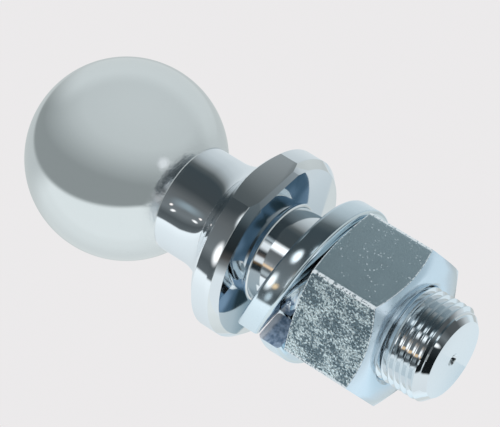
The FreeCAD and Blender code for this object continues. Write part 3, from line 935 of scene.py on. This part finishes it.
# Small soft lights and papers: name, height, distance and direction from the axis, depth and
# breadth, in mm and degrees, and level, warmth and blue
WINDOWS = [
    ("neck_glow", 27, 30, 222, 30, 7, (150, -14)),
    ("flare_glint", 26.8, 20.5, 210, 4, 1.7, (262, 0)),
    ("low_flare_glint", 26.8, 18.5, 217, 2.6, 1.3, (262, 10)),
    ("washer_window", 26.8, 115, 243, 56, 52, (300, -6)),
    ("shank_window", 26.7, 88, 203.5, 36, 50, (290, 0)),
    ("warm_lamp", 26.6, 114, 199, 46, 22, (205, 36, -1.2)),
    ("cut_paper", 26.2, 62, 270, 18, 30, (222, -14)),
    ("washer_paper", 26.4, 112, 183, 44, 40, (200, -12)),
    ("end_window", -59.5, 15, 243, 4, 3.2, (262, -4)),
    ("end_paper", -59.5, 25, 55, 60, 76, (222, -10)),
    ("ball_window", -59.7, 66, 265, 40, 40, (214, -4)),
]


def flat_material(name, shade):
    material = bpy.data.materials.new(name)
    material.use_nodes = True
    shader = material.node_tree.nodes["Principled BSDF"]
    shader.inputs["Base Color"].default_value = (*shade, 1)
    shader.inputs["Roughness"].default_value = 1.0
    shader.inputs["Specular IOR Level"].default_value = 0.0
    return material


def cut_away(tree, glow, nearest=0.0, farthest=None, deep=False, soft=False):
    """Let rays through from behind, and those that come from too near or too far.

    A deep card also lets through all that the metal hasn't mirrored twice, and a soft one fades
    out from its middle to its edge.
    """
    path = node(tree, "ShaderNodeLightPath").outputs
    hidden = node(tree, "ShaderNodeNewGeometry").outputs["Backfacing"]
    masks = []
    if farthest is not None:
        masks.append(maths(tree, "GREATER_THAN", path["Ray Length"], farthest))
    if nearest > 0:
        masks.append(maths(tree, "LESS_THAN", path["Ray Length"], nearest))
    if deep:
        masks.append(maths(tree, "LESS_THAN", path["Ray Depth"], 1.5))
    if soft:
        spot = node(tree, "ShaderNodeTexCoord").outputs["UV"]
        middle = node(tree, "ShaderNodeVectorMath", {0: spot, 1: (0.5, 0.5, 0)}, operation="DISTANCE")
        masks.append(ease(tree, middle.outputs["Value"], 0.12, 0.5))
    for mask in masks:
        hidden = maths(tree, "MAXIMUM", hidden, mask)
    clear = node(tree, "ShaderNodeBsdfTransparent").outputs[0]
    return node(tree, "ShaderNodeMixShader", {0: hidden, 1: glow, 2: clear}).outputs[0]


def finish_card(card, paint, one_sided=True, **limits):
    """Give a card its glowing face. Only polished metal shows it, and it lights nothing.

    The paint is a fixed shade, or a function of the material's tree and object coordinates.
    """
    material = bpy.data.materials.new(card.name + "_cloth")
    material.use_nodes = True
    tree = material.node_tree
    tree.nodes.clear()
    place = node(tree, "ShaderNodeTexCoord").outputs["Object"]
    shade = paint(tree, place) if callable(paint) else (*paint, 1)
    face = node(tree, "ShaderNodeEmission", {"Color": shade}).outputs[0]
    if one_sided:
        face = cut_away(tree, face, **limits)
    node(tree, "ShaderNodeOutputMaterial", {"Surface": face})
    card.data.materials.clear()
    card.data.materials.append(material)
    for ray in ("camera", "diffuse", "shadow", "transmission"):
        setattr(card, "visible_" + ray, False)


def face_card(card, faces_up):
    """Turn a card's face up or down and leave edit mode."""
    mesh = edit_mesh(card)
    for face in mesh.faces:
        face.normal_update()
        if (face.normal.z > 0) != faces_up:
            face.normal_flip()
    bmesh.update_edit_mesh(card.data)
    bpy.ops.object.mode_set(mode="OBJECT")


def ring_card(name, height, inner, outer, paint, **limits):
    """A flat ring round the axis: over the bearing face it faces down, and under it up."""
    deselect_all()
    bpy.ops.mesh.primitive_circle_add(vertices=CARD_STEPS, radius=inner, fill_type="NOTHING",
                                      location=(0, 0, height))
    ring = start_piece(name)
    select_everything()
    bpy.ops.mesh.extrude_edges_move()
    growth = outer / inner
    bpy.ops.transform.resize(value=(growth, growth, 1), center_override=(0, 0, height))
    face_card(ring, height < 0)
    finish_card(ring, paint, **limits)


def band_card(name, radius, low, high, paint, inward=False, **limits):
    """An upright band round the axis."""
    deselect_all()
    bpy.ops.mesh.primitive_cylinder_add(vertices=CARD_STEPS, radius=radius, depth=high - low,
                                        end_fill_type="NOTHING", location=(0, 0, (low + high) / 2))
    band = start_piece(name)
    select_everything()
    bpy.ops.mesh.normals_make_consistent(inside=inward)
    bpy.ops.object.mode_set(mode="OBJECT")
    finish_card(band, paint, **limits)


def window_card(name, height, distance, turn, depth, breadth, shade):
    """A small soft-edged card at a distance and direction from the axis."""
    azimuth = math.radians(turn)
    place = Matrix.Rotation(azimuth, 3, "Z") @ Vector((distance, 0, height)) * MM
    deselect_all()
    bpy.ops.mesh.primitive_plane_add(size=1, location=place, rotation=(0, 0, azimuth))
    bpy.context.object.scale = (depth * MM, breadth * MM, 1)
    window = start_piece(name)
    face_card(window, height < 0)
    finish_card(window, seen(*shade), soft=True)


def shade_ramp(tree, value, stops, interpolation="EASE"):
    """A colour ramp through (position, shade) stops."""
    ramp = node(tree, "ShaderNodeValToRGB", {"Fac": value})
    ramp.color_ramp.interpolation = interpolation
    points = ramp.color_ramp.elements
    while len(points) < len(stops):
        points.new(0.5)
    for point, (position, shade) in zip(points, stops):
        point.position = position
        point.color = (*shade, 1)
    return ramp.outputs["Color"]


def half_range(tree, value):
    """Bring a value from -1..1 to 0..1."""
    return maths(tree, "MULTIPLY_ADD", value, 0.5, 0.5)


def lean(tree, unit, direction):
    """How far a direction turns along the leaning one, from 0 to 1."""
    return half_range(tree, dot(tree, unit, Vector(direction).normalized()))


def paint_tent(tree, place):
    """What the ball mirrors: a pale table, a dark band over it and grey above.

    The tent is turned as the picture is: x to the right, y up and z towards the camera.
    """
    unit = node(tree, "ShaderNodeVectorMath", {0: place}, operation="NORMALIZE").outputs["Vector"]
    y, z = split(tree, unit)[1:]
    front = shade_ramp(tree, lean(tree, unit, TENT_LEAN), [
        (0.47, cloth(141)), (0.60, cloth(163)), (0.70, cloth(179)), (0.80, cloth(190)), (1.0, cloth(194)),
    ], "LINEAR")
    behind = shade_ramp(tree, half_range(tree, y), [
        (0.45, cloth(182)), (0.75, cloth(200)), (1.0, cloth(204)),
    ])

    # Behind the piece the tent is light, but for its left side
    right_side = ease(tree, lean(tree, unit, (1, 1, 0)), 0.40, 0.62)
    light_part = times(tree, ease(tree, z, 0.0, -0.45), right_side)
    room = mix(tree, light_part, front, behind)

    # The white table lies under everything, a little dimmer far behind
    paper = shade_ramp(tree, half_range(tree, z), [
        (0.08, cloth(205)), (0.30, cloth(217)), (0.42, cloth(223)),
    ])
    beside = ease(tree, y, -0.36, -0.02)
    side_paper = shade_ramp(tree, beside, [(0.0, cloth(189)), (1.0, cloth(187))])
    over_table = ease(tree, lean(tree, unit, TABLE_LEAN), 0.334, 0.386)
    return mix(tree, over_table, mix(tree, beside, paper, side_paper), room)


def azimuth_of(tree, place):
    """Direction round the axis, counted from the middle of the dark room."""
    inputs = {"Vector": place, "Angle": -ROOM_MIDDLE}
    turned = node(tree, "ShaderNodeVectorRotate", inputs, rotation_type="Z_AXIS")
    x, y = split(tree, turned.outputs["Vector"])[:2]
    return maths(tree, "ARCTAN2", y, x)


def azimuth_ramp(tree, azimuth, shades):
    """The listed shades by direction round the axis."""
    whole = maths(tree, "MULTIPLY_ADD", azimuth, 0.5 / math.pi, 0.5, clamp=True)
    middle = math.degrees(ROOM_MIDDLE)
    stops = [(0.5 + (turn - middle) / 360, seen(*shade)) for turn, *shade in shades]
    return shade_ramp(tree, whole, stops, "LINEAR")


def round_axis(shades, stretch=1.0):
    """A paint by direction round the axis."""
    def paint(tree, place):
        return azimuth_ramp(tree, maths(tree, "DIVIDE", azimuth_of(tree, place), stretch), shades)
    return paint


def paint_upper_ring(tree, place):
    """The pale table, then the dark room, turned by how far from the axis the mirroring piece is."""
    radius = from_axis(tree, place)

    # The ramp runs over a radius of 0 to 100 mm, and its shades stand for 0 to 50 mm
    turns = shade_ramp(tree, times(tree, radius, 10.0), [
        (0.0, (0.142,) * 3), (0.48, (0.245,) * 3), (0.78, (0.18,) * 3),
    ], "CONSTANT")
    share = maths(tree, "DIVIDE", times(tree, turns, 0.05), radius)
    nearer = maths(tree, "SUBTRACT", 1.0, share)
    return azimuth_ramp(tree, maths(tree, "DIVIDE", azimuth_of(tree, place), nearer), UPPER_SHADES)


def paint_flange_shade(tree, place):
    """A painted reflection of the shaded washer's cloudy blue-black, which only the bearing face mirrors.
    """
    cloud = node(tree, "ShaderNodeTexNoise", {"Vector": place, "Scale": 48.0})
    return shade_ramp(tree, cloud.outputs["Fac"], [
        (0.38, seen(52, -14)), (0.50, seen(86, -22, -0.8)), (0.66, seen(138, -26, -0.9)),
    ])


def paint_deep_band(tree, place):
    """The room again, with glints on its left side."""
    azimuth = azimuth_of(tree, place)
    room = azimuth_ramp(tree, azimuth, DEEP_BAND_SHADES)
    glints = node(tree, "ShaderNodeTexNoise", {"Vector": place, "Scale": 110.0})
    light = shade_ramp(tree, glints.outputs["Color"], [(0.40, seen(215, 30)), (0.5, seen(250, 0))])
    bright = ease(tree, glints.outputs["Fac"], 0.53, 0.57)
    share = times(tree, bright, ease(tree, azimuth, -0.25, -0.6))
    return mix(tree, share, room, light)


class OBJECT_OT_tow_ball_stage(bpy.types.Operator):
    """Set up the camera, the pale floor and backdrop, and the soft studio light"""

    bl_idname = "object.tow_ball_stage"
    bl_label = "Set Up Stage"

    def execute(self, context):
        studio = context.scene.tow_ball.studio
        level = math.cos(studio.elevation)
        back = Vector((math.sin(studio.azimuth) * level, -math.cos(studio.azimuth) * level,
                       math.sin(studio.elevation)))
        camera_data = bpy.data.cameras.new("camera")
        camera = bpy.data.objects.new("camera", camera_data)
        context.scene.collection.objects.link(camera)
        camera_data.lens = studio.lens
        camera_data.sensor_width = 36.0
        camera_data.clip_start = 0.01
        camera_data.clip_end = 50.0
        upright = (-back).to_track_quat("-Z", "Y").to_matrix()
        rolled = (upright @ Matrix.Rotation(studio.roll, 3, "Z")).to_4x4()
        aim = Vector(studio.aim)
        camera.matrix_world = Matrix.Translation(aim + back * studio.distance) @ rolled
        context.scene.camera = camera
        context.scene.view_settings.view_transform = "Standard"

        deselect_all()
        bpy.ops.mesh.primitive_plane_add(size=24, location=(0, 0, -studio.floor_depth))
        floor = context.object
        floor.name = "floor"
        floor.data.materials.append(flat_material("floor_paint", (0.99, 0.99, 0.99)))

        deselect_all()
        bpy.ops.mesh.primitive_uv_sphere_add(segments=64, ring_count=32, radius=studio.tent_radius)
        tent = context.object
        tent.name = "reflection_tent"
        tent.matrix_world = Matrix.Translation(aim) @ rolled
        finish_card(tent, paint_tent, one_sided=False)
        self.hang_cards(studio)

        world = bpy.data.worlds.new("studio")
        context.scene.world = world
        world.use_nodes = True
        tree = world.node_tree
        tree.nodes.clear()
        light = node(tree, "ShaderNodeBackground", {"Color": (*studio.backdrop, 1), "Strength": 1.0})
        node(tree, "ShaderNodeOutputWorld", {"Surface": light.outputs[0]})
        return {"FINISHED"}

    def hang_cards(self, studio):
        """The rings, bands and windows that shape the reflections in the pieces."""
        # Each ring's height, inner radius and outer radius, and which rays see it
        ring_card("upper_ring", studio.ring_height, studio.ring_inner, studio.ring_outer, paint_upper_ring)
        ring_card("lower_ring", -studio.lower_drop, 9 * MM, 140 * MM, round_axis(LOWER_SHADES),
                  farthest=studio.near_reach)
        ring_card("flange_shade", -7 * MM, 14 * MM, 20.8 * MM, paint_flange_shade)
        ring_card("thread_ring", 25.8 * MM, 105 * MM, 260 * MM, round_axis(THREAD_SHADES, 0.965),
                  nearest=158.5 * MM)
        ring_card("collar", -10 * MM, 21.2 * MM, 38 * MM, round_axis(COLLAR_SHADES), farthest=41 * MM)
        ring_card("deep_collar", -10 * MM, 39 * MM, 92 * MM, round_axis(DEEP_COLLAR_SHADES), deep=True)
        ring_card("nut_collar", -59 * MM, 7 * MM, 60 * MM, round_axis(NUT_COLLAR_SHADES),
                  nearest=20.6 * MM, farthest=72 * MM)

        # Painted light: glowing grey in the wedge between washer and nut, where the metal mirrors itself
        # many times
        for name, radius in (("gap_band", 19.4), ("inner_gap_band", 18.3)):
            band_card(name, radius * MM, -19.4 * MM, -17.8 * MM, seen(150, -18))
        band_card("deep_band", 60 * MM, -1 * MM, 59 * MM, paint_deep_band, inward=True, deep=True)
        for window in WINDOWS:
            window_card(*window)


class VIEW3D_PT_tow_ball(bpy.types.Panel):
    """The tow ball's sizes and steps."""

    bl_label = "Tow Ball"
    bl_idname = "VIEW3D_PT_tow_ball"
    bl_space_type = "VIEW_3D"
    bl_region_type = "UI"
    bl_category = "Tow Ball"

    def draw(self, context):
        settings = context.scene.tow_ball
        for part, operator in zip(("stud", "washer", "nut", "finish", "studio"),
                                  (*PIECE_STEPS, "", "object.tow_ball_stage")):
            box = self.layout.box()
            group = getattr(settings, part)
            for name in group.bl_rna.properties.keys():
                if name not in ("rna_type", "name"):
                    box.prop(group, name)
            if operator:
                box.operator(operator)


PIECE_STEPS = ("object.tow_ball_stud", "object.tow_ball_washer", "object.tow_ball_nut")
CLASSES = (
    TowBallStudSizes,
    TowBallWasherSizes,
    TowBallNutSizes,
    TowBallFinish,
    TowBallStudio,
    Settings,
    OBJECT_OT_tow_ball_stud,
    OBJECT_OT_tow_ball_washer,
    OBJECT_OT_tow_ball_nut,
    OBJECT_OT_tow_ball_stage,
    VIEW3D_PT_tow_ball,
)


def register():
    for item in CLASSES:
        bpy.utils.register_class(item)
    bpy.types.Scene.tow_ball = PointerProperty(type=Settings)


def unregister():
    del bpy.types.Scene.tow_ball
    for item in reversed(CLASSES):
        bpy.utils.unregister_class(item)


def main():
    register()
    bpy.ops.object.tow_ball_stage()
    bpy.ops.object.tow_ball_stud()
    bpy.ops.object.tow_ball_washer()
    bpy.ops.object.tow_ball_nut()


if __name__ == "__main__":
    main()
